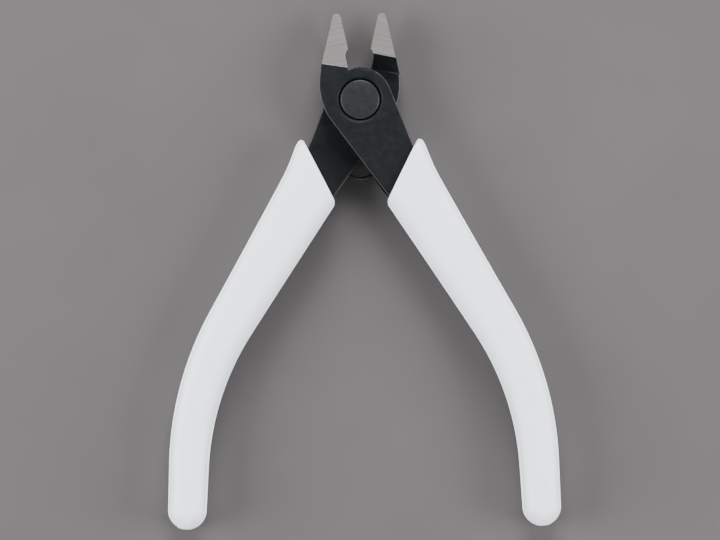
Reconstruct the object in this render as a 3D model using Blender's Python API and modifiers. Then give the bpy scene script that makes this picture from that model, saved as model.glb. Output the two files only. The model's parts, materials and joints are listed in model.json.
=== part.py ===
"""Sprue nippers with a lap joint, a torsion spring and moulded grips.

The tool lies flat: +Z is up through the pivot, +Y points to the blade tips, and the origin is
the centre of the pivot's flat back end. It stands open, as its spring leaves it. Each lever is
modelled closed, in a frame whose axis is the cutting line, and is turned open about the pivot.
"""

import math

import bmesh
import bpy
from mathutils import Matrix, Vector

MM = 0.001

# Overall sizes
OPEN_HALF_ANGLE = math.radians(12.5)  # each lever, away from the cutting line
LEVER_THICKNESS = 4.0 * MM  # one half of the lap joint
GRIP_LENGTH = 88.0 * MM  # along the grip's own middle line
GRIP_THICKNESS = 10.5 * MM

# Joint
LAP_GAP = 0.06 * MM
HEAD_RADIUS = 7.2 * MM
PIN_HEAD_RADIUS = 4.4 * MM
PIN_HEAD_SINK = 1.2 * MM
PIN_HEAD_PROUD = 0.4 * MM
PIN_HEAD_CHAMFER = 0.3 * MM
PIN_RADIUS = 2.6 * MM
PIN_CLEARANCE = 0.06 * MM
HEAD_CLEARANCE = 0.3 * MM
NUT_RADIUS = 4.0 * MM
NUT_THICKNESS = 1.4 * MM
NUT_THREAD_RADIUS = 2.0 * MM
NUT_CHAMFER = 0.3 * MM
SPANNER_HOLE_RADIUS = 0.45 * MM
SPANNER_HOLE_DEPTH = 0.8 * MM
SEAT_GAP = 0.06 * MM

# Jaw
EDGE_START = 11.7 * MM
EDGE_END = 19.3 * MM
EDGE_GAP = 0.03 * MM
TIP_THICKNESS = 1.0 * MM
TIP_ROUND = 0.95 * MM
THROAT_HALF_WIDTH = 1.05 * MM
THROAT_ROUND = 2.4 * MM
BACK_WIDTH = 8.5 * MM  # from the cutting line to the jaw's widest place
BACK_BOW = 14.5 * MM
BACK_BOW_Y = 2.3 * MM
FACET_START = 7.64 * MM
FACET_TURN = math.radians(21.5)
FLANK_ANGLE = math.radians(22.0)
RAMP_START = 7.45 * MM
RAMP_END = 10.8 * MM
RAMP_STEP = 0.9 * MM
RAMP_ROUND = 5.0 * MM

# Arm
INNER_EDGE_DISTANCE = 8.0 * MM  # from the pivot to the arm's inner edge
INNER_EDGE_SLOPE = math.radians(24.1)
OUTER_EDGE_SLOPE = math.radians(8.8)
ARM_LENGTH = 36.0 * MM
TANG_WIDTH = 5.0 * MM
TANG_THICKNESS = 4.6 * MM
TANG_START = 3.4 * MM  # along the grip, past its mouth
TANG_END_WALL = 9.0 * MM

# Grip
MOUTH_X = 5.5 * MM
MOUTH_Y = -17.8 * MM
GRIP_SLOPE = math.radians(18.8)
GRIP_STRAIGHT = 39.5 * MM
GRIP_BEND_RADIUS = 68.0 * MM
GRIP_BEND = math.radians(28.6)
GRIP_TOP_WIDTH = 13.7 * MM
GRIP_END_WIDTH = 8.6 * MM
GRIP_ROUND = 2.6 * MM
MOUTH_SLOPE = math.radians(50.7)  # of the mouth's line, above the horizontal
MOUTH_ANGLE = math.pi / 2 + GRIP_SLOPE - MOUTH_SLOPE  # between the mouth's line and the grip's
MOUTH_ROUND = 0.9 * MM
MOUTH_EASE = 15.0 * MM  # over which the slanted mouth turns square
MOUTH_CORNER = 1.2 * MM
EAR_REACH = 9.15 * MM  # from the middle line, along the mouth
EAR_ROUND = 1.7 * MM
EAR_FADE = 3.2 * MM
GRIP_CLEARANCE = 0.12 * MM

# Return spring
SPRING_Y = -13.7 * MM
SPRING_OUTER_RADIUS = 4.5 * MM
SPRING_WIRE = 0.85 * MM
SPRING_TURN_GAP = 0.05 * MM
SPRING_TURNS = 1.39
SPRING_CLEARANCE = 0.1 * MM
POCKET_CLEARANCE = 0.25 * MM
LEG_TIP = Vector((6.2, -17.4)) * MM  # in the open tool
LEG_TIP_HEIGHT = 1.3 * MM
LEG_BEND = 0.6 * MM
LEG_SLOT_WIDTH = 2.1 * MM
LEG_SLOT_ROOM = 0.3 * MM
FIXED_LEG_LENGTH = 6.0 * MM

BACK_MID = LEVER_THICKNESS + LAP_GAP / 2
STACK = 2 * LEVER_THICKNESS + LAP_GAP
ROUND_STEPS = 48

SPRING_MEAN_RADIUS = SPRING_OUTER_RADIUS - SPRING_WIRE / 2
SPRING_CENTRE = Vector((0, SPRING_Y))
LEG_REACH = (LEG_TIP - SPRING_CENTRE).length
LEG_LEAVES = math.atan2(LEG_TIP.y - SPRING_Y, LEG_TIP.x) + math.acos(SPRING_MEAN_RADIUS / LEG_REACH)
SPRING_PITCH = SPRING_WIRE + SPRING_TURN_GAP
SPRING_LOW = SPRING_CLEARANCE + SPRING_WIRE / 2
SPRING_TOP = SPRING_LOW + (SPRING_TURNS + 1) * SPRING_PITCH


def clear_scene():
    """Removes every object, so that only the tool is left."""
    for obj in list(bpy.data.objects):
        bpy.data.objects.remove(obj, do_unlink=True)


def new_collection(name):
    """A collection under the scene's own."""
    collection = bpy.data.collections.new(name)
    bpy.context.scene.collection.children.link(collection)
    return collection


def material(name, colour, roughness, metallic):
    """A Principled material of one colour."""
    made = bpy.data.materials.new(name)
    made.use_nodes = True
    shader = made.node_tree.nodes["Principled BSDF"]
    shader.inputs["Base Color"].default_value = (*colour, 1)
    shader.inputs["Roughness"].default_value = roughness
    shader.inputs["Metallic"].default_value = metallic
    return made


def linked(name, data, collection):
    """A new object for this data."""
    obj = bpy.data.objects.new(name, data)
    collection.objects.link(obj)
    return obj


def as_cutter(obj):
    """Marks an object as a cutter, which isn't part of the tool."""
    obj.hide_render = True
    obj.display_type = "WIRE"
    return obj


def meshed(curve, collection):
    """The closed mesh of a curve object, which it replaces."""
    bpy.context.view_layer.update()
    graph = bpy.context.evaluated_depsgraph_get()
    mesh = bpy.data.meshes.new_from_object(curve.evaluated_get(graph))
    bm = bmesh.new()
    bm.from_mesh(mesh)
    bmesh.ops.remove_doubles(bm, verts=bm.verts, dist=0.001 * MM)
    bmesh.ops.recalc_face_normals(bm, faces=bm.faces)
    bm.to_mesh(mesh)
    bm.free()
    name = curve.name
    matrix = curve.matrix_world.copy()
    bpy.data.objects.remove(curve, do_unlink=True)
    made = linked(name, mesh, collection)
    made.matrix_world = matrix
    return made


def prism(name, outline, low, high, collection):
    """A flat outline in XY, filled and extruded from low to high."""
    data = bpy.data.curves.new(name, "CURVE")
    data.dimensions = "2D"
    data.fill_mode = "BOTH"
    data.extrude = (high - low) / 2
    spline = data.splines.new("POLY")
    spline.points.add(len(outline) - 1)
    for point, place in zip(spline.points, outline):
        point.co = (place[0], place[1], 0, 1)
    spline.use_cyclic_u = True
    curve = linked(name, data, collection)
    curve.location.z = (low + high) / 2
    return meshed(curve, collection)


def wire(name, route, diameter, collection):
    """A round wire along a route of points."""
    data = bpy.data.curves.new(name, "CURVE")
    data.dimensions = "3D"
    data.bevel_depth = diameter / 2
    data.bevel_resolution = 2
    data.use_fill_caps = True
    spline = data.splines.new("POLY")
    spline.points.add(len(route) - 1)
    for point, place in zip(spline.points, route):
        point.co = (*place, 1)
    return meshed(linked(name, data, collection), collection)


def turned(name, profile, collection):
    """A profile of (radius, height) points, top to bottom, turned about Z."""
    mesh = bpy.data.meshes.new(name)
    edges = [(i, i + 1) for i in range(len(profile) - 1)]
    mesh.from_pydata([(radius, 0, height) for radius, height in profile], edges, [])
    obj = linked(name, mesh, collection)
    screw = obj.modifiers.new("turn", "SCREW")
    screw.steps = ROUND_STEPS
    screw.render_steps = ROUND_STEPS
    screw.use_merge_vertices = True
    screw.merge_threshold = 0.0001 * MM
    return obj


def cylinder(name, radius, low, high, collection, steps=ROUND_STEPS):
    """A cylinder about Z, from low to high."""
    bm = bmesh.new()
    bmesh.ops.create_cone(
        bm, cap_ends=True, segments=steps, radius1=radius, radius2=radius, depth=high - low
    )
    mesh = bpy.data.meshes.new(name)
    bm.to_mesh(mesh)
    bm.free()
    obj = linked(name, mesh, collection)
    obj.location.z = (low + high) / 2
    return obj


def block(name, size, collection):
    """A box about its own origin."""
    bm = bmesh.new()
    bmesh.ops.create_cube(bm, size=1, matrix=Matrix.Diagonal((*size, 1)))
    mesh = bpy.data.meshes.new(name)
    bm.to_mesh(mesh)
    bm.free()
    return linked(name, mesh, collection)


def boolean(obj, other, operation):
    """Cuts, joins or keeps the common part with the EXACT solver."""
    modifier = obj.modifiers.new(operation.lower() + " " + other.name, "BOOLEAN")
    modifier.operation = operation
    modifier.object = other
    modifier.solver = "EXACT"


def arc(centre, radius, start, end, steps):
    """Points on a circle, both ends among them."""
    turns = [start + (end - start) * i / steps for i in range(steps + 1)]
    return [
        Vector((centre[0] + radius * math.cos(a), centre[1] + radius * math.sin(a))) for a in turns
    ]


def rotated(point, angle):
    """A flat point turned about the pivot."""
    return Matrix.Rotation(angle, 2) @ Vector(point[:2])


def inner_edge_x(y, margin=0.0):
    """X of the arm's inner edge at this height of the closed tool."""
    reach = (INNER_EDGE_DISTANCE + margin) / math.cos(INNER_EDGE_SLOPE)
    return -reach - y * math.tan(INNER_EDGE_SLOPE)


def outer_edge_x(y, margin=0.0):
    """X of the arm's outer edge, which is tangent to the head."""
    reach = (HEAD_RADIUS + margin) / math.cos(OUTER_EDGE_SLOPE)
    return reach - y * math.tan(OUTER_EDGE_SLOPE)


def arm_outline(top, margin=0.0):
    """The arm from this height down to its end inside the grip."""
    bottom = -ARM_LENGTH - margin
    return [
        (inner_edge_x(top, margin), top),
        (inner_edge_x(bottom, margin), bottom),
        (outer_edge_x(bottom, margin), bottom),
        (outer_edge_x(top, margin), top),
    ]


def lever_outline():
    """The whole lever in plan: jaw on the left, arm to the right, closed."""
    tip_centre = Vector((-EDGE_GAP - TIP_ROUND, EDGE_END))
    bow_centre = Vector((BACK_BOW - BACK_WIDTH, BACK_BOW_Y))
    between = tip_centre - bow_centre
    tangent = math.atan2(between.y, between.x) + math.acos((BACK_BOW - TIP_ROUND) / between.length)
    tip = arc(tip_centre, TIP_ROUND, 0, tangent, 10)
    edge_normal = Vector((math.cos(INNER_EDGE_SLOPE), math.sin(INNER_EDGE_SLOPE)))
    edge_reach = INNER_EDGE_DISTANCE + bow_centre.dot(edge_normal)
    corner = math.pi + INNER_EDGE_SLOPE - math.acos(edge_reach / BACK_BOW)
    back = arc(bow_centre, BACK_BOW, tangent, corner, 14)
    arm = arm_outline(back[-1].y)
    throat_top = math.pi / 2 + math.asin(THROAT_HALF_WIDTH / HEAD_RADIUS)
    head = arc((0, 0), HEAD_RADIUS, OUTER_EDGE_SLOPE, throat_top, 24)
    throat_x = THROAT_ROUND - THROAT_HALF_WIDTH
    edge_end = math.acos((-EDGE_GAP - throat_x) / THROAT_ROUND)
    throat_centre = (throat_x, EDGE_START - THROAT_ROUND * math.sin(edge_end))
    throat = arc(throat_centre, THROAT_ROUND, math.pi, edge_end, 8)
    return [*tip, *back, *arm[1:3], *head, *throat]


def side_profile():
    """The lever's outline seen from its side, as (y, z), front face up."""
    lap = LEVER_THICKNESS + LAP_GAP
    chord_start = Vector((RAMP_START, lap))
    chord_end = Vector((RAMP_END, RAMP_STEP))
    chord = chord_end - chord_start
    middle = (chord_start + chord_end) / 2
    away = Vector((chord.y, -chord.x)).normalized()
    centre = middle + away * math.sqrt(RAMP_ROUND**2 - (chord.length / 2) ** 2)
    start = math.atan2(chord_start.y - centre.y, chord_start.x - centre.x)
    end = math.atan2(chord_end.y - centre.y, chord_end.x - centre.x)
    ramp = arc(centre, RAMP_ROUND, start, end, 10)
    tip = EDGE_END + 2 * MM
    bottom = -ARM_LENGTH - MM
    return [(bottom, lap), *ramp, (RAMP_END, 0), (tip, 0), (tip, STACK), (bottom, STACK)]


def facet_cutter(name, collection, turned_over):
    """Takes off what lies above the jaw's ground face, or below it when turned over."""
    reach = 40 * MM
    run = EDGE_END - FACET_START
    drop = (STACK - TIP_THICKNESS) / 2
    slope = math.atan2(drop, run)
    cutter = block(name, (reach, reach, reach), collection)
    seat = Matrix.Translation((-THROAT_HALF_WIDTH, FACET_START, STACK))
    turn = Matrix.Rotation(-FACET_TURN, 4, "Z") @ Matrix.Rotation(-slope, 4, "X")
    cutter.matrix_world = seat @ turn @ Matrix.Translation((0, reach / 2, reach / 2))
    if turned_over:
        mirror = Matrix.Translation((0, 0, STACK)) @ Matrix.Diagonal((1, 1, -1, 1))
        cutter.data.transform(mirror @ cutter.matrix_world)
        cutter.data.flip_normals()
        cutter.matrix_world = Matrix.Identity(4)
    return as_cutter(cutter)


def ground_height(x, y):
    """Height of the ground front face over a point of the jaw."""
    run = EDGE_END - FACET_START
    slope = (STACK - TIP_THICKNESS) / 2 / run
    along = (x + THROAT_HALF_WIDTH) * math.sin(FACET_TURN) + (y - FACET_START) * math.cos(FACET_TURN)
    return STACK - along * slope


def flank_cutter(name, collection, edge_in_front):
    """Relieves the jaw behind its cutting edge, so that only the edge meets its partner."""
    reach = 24 * MM
    sign = 1 if edge_in_front else -1
    ends = []
    for y in (EDGE_START, EDGE_END):
        height = ground_height(0, y) - STACK / 2
        ends.append(Vector((-EDGE_GAP, y, STACK / 2 + sign * height)))
    along = (ends[1] - ends[0]).normalized()
    down = Vector((-math.sin(FLANK_ANGLE), 0, -sign * math.cos(FLANK_ANGLE)))
    out = along.cross(down).normalized()
    if out.x < 0:
        out = -out
    down = out.cross(along).normalized()
    frame = Matrix((out, along, down)).transposed().to_4x4()
    length = (ends[1] - ends[0]).length + 6 * MM
    cutter = block(name, (reach, length, 2 * reach), collection)
    start = ends[0] - along * 0.6 * MM
    place = start + out * reach / 2 + along * length / 2
    cutter.matrix_world = Matrix.Translation(place) @ frame
    return as_cutter(cutter)


def grip_middle(s):
    """Point and heading of the grip's middle line, s along it from the mouth."""
    point = Vector((MOUTH_X, MOUTH_Y))
    straight = min(s, GRIP_STRAIGHT)
    point += Vector((math.sin(GRIP_SLOPE), -math.cos(GRIP_SLOPE))) * straight
    turn = min(max(s - GRIP_STRAIGHT, 0) / GRIP_BEND_RADIUS, GRIP_BEND)
    heading = GRIP_SLOPE - turn
    point += GRIP_BEND_RADIUS * Vector(
        (math.cos(heading) - math.cos(GRIP_SLOPE), math.sin(heading) - math.sin(GRIP_SLOPE))
    )
    rest = s - GRIP_STRAIGHT - turn * GRIP_BEND_RADIUS
    if rest > 0:
        point += Vector((math.sin(heading), -math.cos(heading))) * rest
    return point, heading


def grip_width(s):
    """The grip's full width across its middle line."""
    share = max(1 - s / GRIP_LENGTH, 0)
    return GRIP_END_WIDTH + (GRIP_TOP_WIDTH - GRIP_END_WIDTH) * share**1.5


def strip(width, start, end, steps=10):
    """The outline of a strip of one width along the grip's middle line."""
    sides = ([], [])
    for i in range(steps + 1):
        point, heading = grip_middle(start + (end - start) * i / steps)
        across = Vector((math.cos(heading), math.sin(heading))) * width / 2
        sides[0].append(point - across)
        sides[1].append(point + across)
    return sides[0] + sides[1][::-1]


def side_reach(along):
    """Distance from the middle line to a side, measured parallel to the mouth."""
    return grip_width(max(along, 0)) / 2 / math.sin(MOUTH_ANGLE)


def slanted_ends(depth):
    """The inner and outer ends of the grip on a line parallel to its mouth, this far past it."""
    skew = GRIP_TOP_WIDTH / 2 / math.tan(MOUTH_ANGLE)
    inner = side_reach(depth + skew)
    corner = MOUTH_CORNER - depth
    if corner > 0:
        inner += math.sqrt(MOUTH_CORNER**2 - corner**2) - MOUTH_CORNER
    ear = EAR_ROUND - depth
    if ear > 0:
        outer = EAR_REACH - EAR_ROUND + math.sqrt(EAR_ROUND**2 - ear**2)
    else:
        side = side_reach(depth - skew)
        outer = side + (EAR_REACH - side) * math.exp(-((ear / EAR_FADE) ** 2))
    point, _ = grip_middle(depth)
    line = Vector((math.cos(MOUTH_SLOPE), math.sin(MOUTH_SLOPE)))
    return point - line * inner, point + line * outer


def section(inner, outer, thickness, corner):
    """A ring of points round a cross-section: a box with round corners, flat back and front."""
    middle = (inner + outer) / 2
    half = (outer - inner).length / 2
    across = (outer - inner).normalized()
    corner = min(corner, half * 0.98, thickness / 2 * 0.98)
    points = []
    for quarter in range(4):
        x_sign = (1, -1, -1, 1)[quarter]
        z_sign = (1, 1, -1, -1)[quarter]
        for step in range(4):
            angle = math.pi / 2 * (quarter + step / 3)
            x = x_sign * (half - corner) + corner * math.cos(angle)
            z = z_sign * (thickness / 2 - corner) + corner * math.sin(angle)
            flat = middle + across * x
            points.append(Vector((flat.x, flat.y, BACK_MID + z)))
    return points


def grip_sections():
    """Cross-sections of the grip, from its slanted mouth to its round end."""
    end_radius = GRIP_END_WIDTH / 2
    body_end = GRIP_LENGTH - end_radius
    stations = [MOUTH_EASE * (i / 14) ** 2 for i in range(14)]
    stations += [MOUTH_EASE + (body_end - MOUTH_EASE) * i / 14 for i in range(15)]
    stations += [body_end + end_radius * math.sin(math.pi / 2 * i / 5) for i in range(1, 5)]
    rings = []
    for s in stations:
        point, heading = grip_middle(s)
        across = Vector((math.cos(heading), math.sin(heading)))
        share = math.sqrt(1 - (max(s - body_end, 0) / end_radius) ** 2)
        half = grip_width(s) * share / 2
        square = (point - across * half, point + across * half)
        blend = min(s / MOUTH_EASE, 1)
        blend = blend * blend * (3 - 2 * blend)
        slanted = slanted_ends(s)
        ends = [slanted[side].lerp(square[side], blend) for side in (0, 1)]
        rim = max(MOUTH_ROUND - s, 0)
        inset = MOUTH_ROUND - math.sqrt(MOUTH_ROUND**2 - rim**2)
        thickness = GRIP_THICKNESS - 2 * inset - GRIP_ROUND * 2 * (1 - share)
        rings.append(section(*ends, thickness, GRIP_ROUND))
    return rings


def loft(name, rings, collection):
    """A closed body through rings of equal point counts."""
    bm = bmesh.new()
    loops = [[bm.verts.new(point) for point in ring] for ring in rings]
    count = len(rings[0])
    for first, second in zip(loops, loops[1:]):
        for i in range(count):
            j = (i + 1) % count
            bm.faces.new((first[i], first[j], second[j], second[i]))
    bm.faces.new(loops[0])
    bm.faces.new(loops[-1])
    bmesh.ops.recalc_face_normals(bm, faces=bm.faces)
    mesh = bpy.data.meshes.new(name)
    bm.to_mesh(mesh)
    bm.free()
    return linked(name, mesh, collection)


def lever_blank(name, edge_in_front, bore_sink, bore_radius, parts, cutters):
    """One lever, closed, lying with its lap face down on its partner's."""
    lap = LEVER_THICKNESS + LAP_GAP
    lever = prism(name, lever_outline(), 0, STACK, parts)
    side = prism(name + " side", side_profile(), -40 * MM, 40 * MM, cutters)
    turn = Matrix(((0, 0, 1, 0), (1, 0, 0, 0), (0, 1, 0, 0), (0, 0, 0, 1)))
    side.matrix_world = turn @ side.matrix_world
    boolean(lever, as_cutter(side), "INTERSECT")
    tang_low = BACK_MID - TANG_THICKNESS / 2
    tang_end = GRIP_LENGTH - TANG_END_WALL
    tang_line = strip(TANG_WIDTH, TANG_START, tang_end)
    tang = prism(name + " tang", tang_line, tang_low, tang_low + TANG_THICKNESS, cutters)
    boolean(lever, as_cutter(tang), "UNION")
    for turned_over in (False, True):
        boolean(lever, facet_cutter(f"{name} facet {turned_over}", cutters, turned_over), "DIFFERENCE")
    boolean(lever, flank_cutter(name + " flank", cutters, edge_in_front), "DIFFERENCE")
    bore = cylinder(name + " bore", PIN_RADIUS + PIN_CLEARANCE, lap - MM, STACK + MM, cutters)
    boolean(lever, as_cutter(bore), "DIFFERENCE")
    sink = cylinder(name + " sink", bore_radius, STACK - bore_sink, STACK + MM, cutters)
    boolean(lever, as_cutter(sink), "DIFFERENCE")
    return lever


def freeze(obj):
    """Applies an object's modifiers to its mesh."""
    bpy.context.view_layer.update()
    graph = bpy.context.evaluated_depsgraph_get()
    mesh = bpy.data.meshes.new_from_object(obj.evaluated_get(graph))
    obj.modifiers.clear()
    obj.data = mesh
    return obj


def turn_over(obj):
    """Turns a mesh half round about Y at mid-thickness, which swaps front and back."""
    middle = Matrix.Translation((0, 0, BACK_MID))
    obj.data.transform(middle @ Matrix.Rotation(math.pi, 4, "Y") @ middle.inverted() @ obj.matrix_basis)
    obj.matrix_basis = Matrix.Identity(4)
    return obj


def make_grip(name, parts, cutters):
    """A sleeve with a blind cavity for the arm and the tang."""
    grip = loft(name, grip_sections(), parts)
    arm = prism(
        name + " arm room",
        arm_outline(-6 * MM, GRIP_CLEARANCE),
        LEVER_THICKNESS + LAP_GAP - GRIP_CLEARANCE,
        STACK + GRIP_CLEARANCE,
        cutters,
    )
    tang_end = GRIP_LENGTH - TANG_END_WALL
    tang = prism(
        name + " tang room",
        strip(TANG_WIDTH + 2 * GRIP_CLEARANCE, TANG_START - GRIP_CLEARANCE, tang_end + GRIP_CLEARANCE),
        BACK_MID - TANG_THICKNESS / 2 - GRIP_CLEARANCE,
        BACK_MID + TANG_THICKNESS / 2 + GRIP_CLEARANCE,
        cutters,
    )
    boolean(grip, as_cutter(arm), "DIFFERENCE")
    boolean(grip, as_cutter(tang), "DIFFERENCE")
    return grip


def make_pin(parts):
    """The headed pivot pin, from its proud head down to its flat back end."""
    top = STACK + PIN_HEAD_PROUD
    under = STACK - PIN_HEAD_SINK + SEAT_GAP
    shoulder = NUT_THICKNESS + SEAT_GAP
    profile = [
        (0, top),
        (PIN_HEAD_RADIUS - PIN_HEAD_CHAMFER, top),
        (PIN_HEAD_RADIUS, top - PIN_HEAD_CHAMFER),
        (PIN_HEAD_RADIUS, under),
        (PIN_RADIUS, under),
        (PIN_RADIUS, shoulder),
        (NUT_THREAD_RADIUS, shoulder),
        (NUT_THREAD_RADIUS, 0),
        (0, 0),
    ]
    return turned("pivot_pin", profile, parts)


def make_nut(parts, cutters):
    """The flat round nut, with two spanner holes in its back."""
    bore = NUT_THREAD_RADIUS + PIN_CLEARANCE
    profile = [
        (bore, NUT_THICKNESS),
        (NUT_RADIUS, NUT_THICKNESS),
        (NUT_RADIUS, NUT_CHAMFER),
        (NUT_RADIUS - NUT_CHAMFER, 0),
        (bore, 0),
        (bore, NUT_THICKNESS),
    ]
    nut = turned("pivot_nut", profile, parts)
    for side in (-1, 1):
        name = f"spanner hole {side}"
        hole = cylinder(name, SPANNER_HOLE_RADIUS, -MM, SPANNER_HOLE_DEPTH, cutters, 16)
        hole.location.x = side * (NUT_RADIUS + NUT_THREAD_RADIUS) / 2
        boolean(nut, as_cutter(hole), "DIFFERENCE")
    return nut


def round_spring(angle, height):
    """A point on the coil's middle line."""
    flat = SPRING_CENTRE + Vector((math.cos(angle), math.sin(angle))) * SPRING_MEAN_RADIUS
    return Vector((flat.x, flat.y, height))


def make_spring_coil(parts):
    """The lower turns and the leg that stays in the back lever."""
    start = math.pi - LEG_LEAVES
    steps = 34
    turns = SPRING_TURNS - 0.06
    coil = []
    for i in range(steps + 1):
        share = turns * i / steps
        coil.append(round_spring(start - 2 * math.pi * share, SPRING_LOW + share * SPRING_PITCH))
    leave = Vector((math.cos(start + math.pi / 2), math.sin(start + math.pi / 2), 0))
    leg = coil[0] + leave * FIXED_LEG_LENGTH
    return wire("return_spring_coil", [leg, *coil], SPRING_WIRE, parts)


def make_spring_arm(parts):
    """The top turn and the leg that bends up into the front lever."""
    steps = 24
    turn = math.radians(335)
    ring = [round_spring(LEG_LEAVES + turn * (1 - i / steps), SPRING_TOP) for i in range(steps + 1)]
    tip = Vector((LEG_TIP.x, LEG_TIP.y, SPRING_TOP))
    back = (ring[-1] - tip).normalized()
    rise = LEVER_THICKNESS + LAP_GAP + LEG_TIP_HEIGHT
    corner = [
        tip + back * LEG_BEND,
        tip + back * LEG_BEND * 0.35 + Vector((0, 0, LEG_BEND * 0.25)),
        tip + Vector((0, 0, LEG_BEND)),
        Vector((tip.x, tip.y, rise)),
    ]
    arm = wire("return_spring_arm", [*ring, *corner], SPRING_WIRE, parts)
    centre = Vector((*SPRING_CENTRE, 0))
    arm.data.transform(Matrix.Translation(-centre))
    arm.location = centre
    return arm


def leg_travel():
    """How far the leg turns about the coil while the tool closes."""
    closed = rotated(LEG_TIP, -2 * OPEN_HALF_ANGLE) - SPRING_CENTRE
    start = LEG_TIP - SPRING_CENTRE
    return math.atan2(start.y, start.x) - math.atan2(closed.y, closed.x)


def cut_spring_room(front, back, cutters):
    """The pocket and leg groove in the back lever, and the leg's slot in the front one."""
    pocket_top = SPRING_TOP + SPRING_WIRE / 2 + SPRING_CLEARANCE
    pocket = cylinder("spring pocket", SPRING_OUTER_RADIUS + POCKET_CLEARANCE, -MM, pocket_top, cutters)
    pocket.location.y = SPRING_Y
    boolean(back, as_cutter(pocket), "DIFFERENCE")
    leave = math.pi - LEG_LEAVES
    start = round_spring(leave, 0)
    end = start + Vector((math.cos(leave + math.pi / 2), math.sin(leave + math.pi / 2), 0)) * (
        FIXED_LEG_LENGTH + SPRING_WIRE / 2
    )
    width = SPRING_WIRE + 2 * POCKET_CLEARANCE
    groove = capsule(start, end, width, -MM, SPRING_LOW + SPRING_WIRE / 2 + SPRING_CLEARANCE)
    boolean(back, as_cutter(prism("leg groove", *groove, cutters)), "DIFFERENCE")
    turn = leg_travel()
    moved = SPRING_CENTRE + Matrix.Rotation(-turn, 2) @ (LEG_TIP - SPRING_CENTRE)
    lap = LEVER_THICKNESS + LAP_GAP
    slot_end = rotated(moved, 2 * OPEN_HALF_ANGLE)
    slot_top = lap + LEG_TIP_HEIGHT + LEG_SLOT_ROOM
    slot = capsule(LEG_TIP, slot_end, LEG_SLOT_WIDTH, lap - MM, slot_top)
    boolean(front, as_cutter(prism("leg slot", *slot, cutters)), "DIFFERENCE")


def capsule(start, end, width, low, high):
    """A round-ended slot's outline with its heights."""
    line = Vector(end[:2]) - Vector(start[:2])
    heading = math.atan2(line.y, line.x)
    outline = arc(start, width / 2, heading + math.pi / 2, heading + 1.5 * math.pi, 8)
    outline += arc(end, width / 2, heading - math.pi / 2, heading + math.pi / 2, 8)
    return outline, low, high


def main():
    """Builds the tool, open."""
    clear_scene()
    parts = new_collection("sprue_nippers")
    cutters = new_collection("cutters")
    steel = material("blackened steel", (0.021, 0.025, 0.028), 0.5, 0.7)
    pin_steel = material("pin steel", (0.04, 0.044, 0.05), 0.42, 0.8)
    spring_steel = material("spring steel", (0.012, 0.012, 0.013), 0.4, 0.8)
    grip_plastic = material("white grip", (0.70, 0.73, 0.76), 0.45, 0.0)

    sink_radius = PIN_HEAD_RADIUS + HEAD_CLEARANCE
    front = lever_blank("front_lever", True, PIN_HEAD_SINK, sink_radius, parts, cutters)
    freeze(front)
    nut_sink = NUT_THICKNESS + SEAT_GAP
    nut_radius = NUT_RADIUS + 2 * PIN_CLEARANCE
    back = lever_blank("back_lever", False, nut_sink, nut_radius, parts, cutters)
    turn_over(freeze(back))
    right_grip = freeze(make_grip("right_grip", parts, cutters))
    left_grip = linked("left_grip", right_grip.data.copy(), parts)
    turn_over(left_grip)
    front.data.transform(front.matrix_basis)
    front.matrix_basis = Matrix.Identity(4)
    front.rotation_euler.z = OPEN_HALF_ANGLE
    back.rotation_euler.z = -OPEN_HALF_ANGLE
    right_grip.parent = front
    left_grip.parent = back
    bpy.context.view_layer.update()
    cut_spring_room(front, back, cutters)

    pin = make_pin(parts)
    nut = make_nut(parts, cutters)
    coil = make_spring_coil(parts)
    arm = make_spring_arm(parts)
    looks = (
        (steel, (front, back)),
        (pin_steel, (pin, nut)),
        (spring_steel, (coil, arm)),
        (grip_plastic, (left_grip, right_grip)),
    )
    for look, pieces in looks:
        for piece in pieces:
            piece.data.materials.clear()
            piece.data.materials.append(look)
            piece.data.shade_smooth()
            piece.data.set_sharp_from_angle(angle=math.radians(30))


main()
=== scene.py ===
"""The finished look of a pair of sprue nippers that lie open on a pale floor.

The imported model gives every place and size. The levers keep their own shape and get broken
edges and ground jaws; the pin, the spring and the grips are made again with finer surfaces.
"""

import json
import logging
import math
from dataclasses import dataclass
from enum import Enum

import bmesh
import bpy
from mathutils import Matrix, Vector


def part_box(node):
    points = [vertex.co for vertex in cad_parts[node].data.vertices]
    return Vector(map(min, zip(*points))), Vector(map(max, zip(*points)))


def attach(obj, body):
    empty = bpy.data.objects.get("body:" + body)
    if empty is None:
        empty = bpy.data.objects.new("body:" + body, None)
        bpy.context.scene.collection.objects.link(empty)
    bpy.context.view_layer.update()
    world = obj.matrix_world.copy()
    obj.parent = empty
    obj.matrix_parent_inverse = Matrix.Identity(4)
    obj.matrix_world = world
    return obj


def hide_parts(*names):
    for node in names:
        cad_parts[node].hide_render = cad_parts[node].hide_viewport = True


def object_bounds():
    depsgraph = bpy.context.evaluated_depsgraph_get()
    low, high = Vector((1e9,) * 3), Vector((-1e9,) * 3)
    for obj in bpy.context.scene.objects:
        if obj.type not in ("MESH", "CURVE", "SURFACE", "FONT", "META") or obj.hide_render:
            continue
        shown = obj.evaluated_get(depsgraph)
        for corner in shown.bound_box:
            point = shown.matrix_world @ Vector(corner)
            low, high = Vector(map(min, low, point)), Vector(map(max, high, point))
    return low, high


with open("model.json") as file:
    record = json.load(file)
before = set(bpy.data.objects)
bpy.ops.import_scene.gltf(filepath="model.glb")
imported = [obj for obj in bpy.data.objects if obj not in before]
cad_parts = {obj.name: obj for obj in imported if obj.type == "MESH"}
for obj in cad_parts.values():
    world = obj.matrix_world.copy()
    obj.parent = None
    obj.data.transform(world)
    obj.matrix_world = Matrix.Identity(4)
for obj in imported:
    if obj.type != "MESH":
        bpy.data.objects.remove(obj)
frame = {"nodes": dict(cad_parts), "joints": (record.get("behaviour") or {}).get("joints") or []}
CAD_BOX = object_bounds()

log = logging.getLogger("sprue_nippers")
MM = 0.001

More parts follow.
